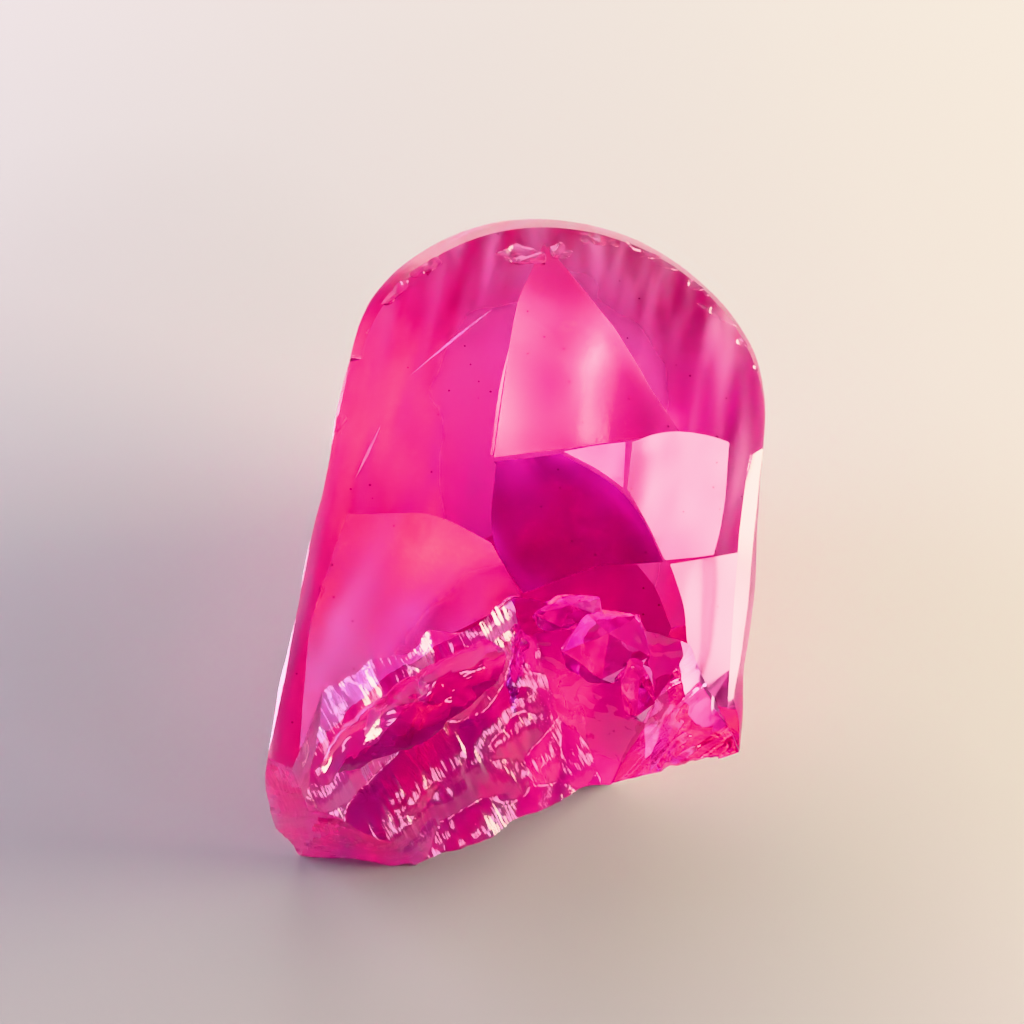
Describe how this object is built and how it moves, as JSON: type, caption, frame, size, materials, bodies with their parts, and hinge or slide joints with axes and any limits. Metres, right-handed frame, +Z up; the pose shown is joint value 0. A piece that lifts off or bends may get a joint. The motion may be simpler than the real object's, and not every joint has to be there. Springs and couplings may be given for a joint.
{
  "type": "rough zircon",
  "caption": "Split half of a round, domed pink zircon crystal, clear, with a smooth flat split face and a broken end.",
  "frame": {"origin": "middle of the stone's bounding box in plan, on the surface that the stone lies on", "axes": "+Y along the crystal's length towards the domed end, the broken end at -Y; +Z up, out of the split face; +X to the right when looking along +Y"},
  "size_m": [0.0196, 0.0296, 0.0128],
  "materials": {
    "zircon": "clear hot pink, polished by nature on the split face, satin on the outer skin, glassy shell-shaped breaks at one end"
  },
  "bodies": {
    "root": {"zircon": "zircon"}
  },
  "joints": []
}
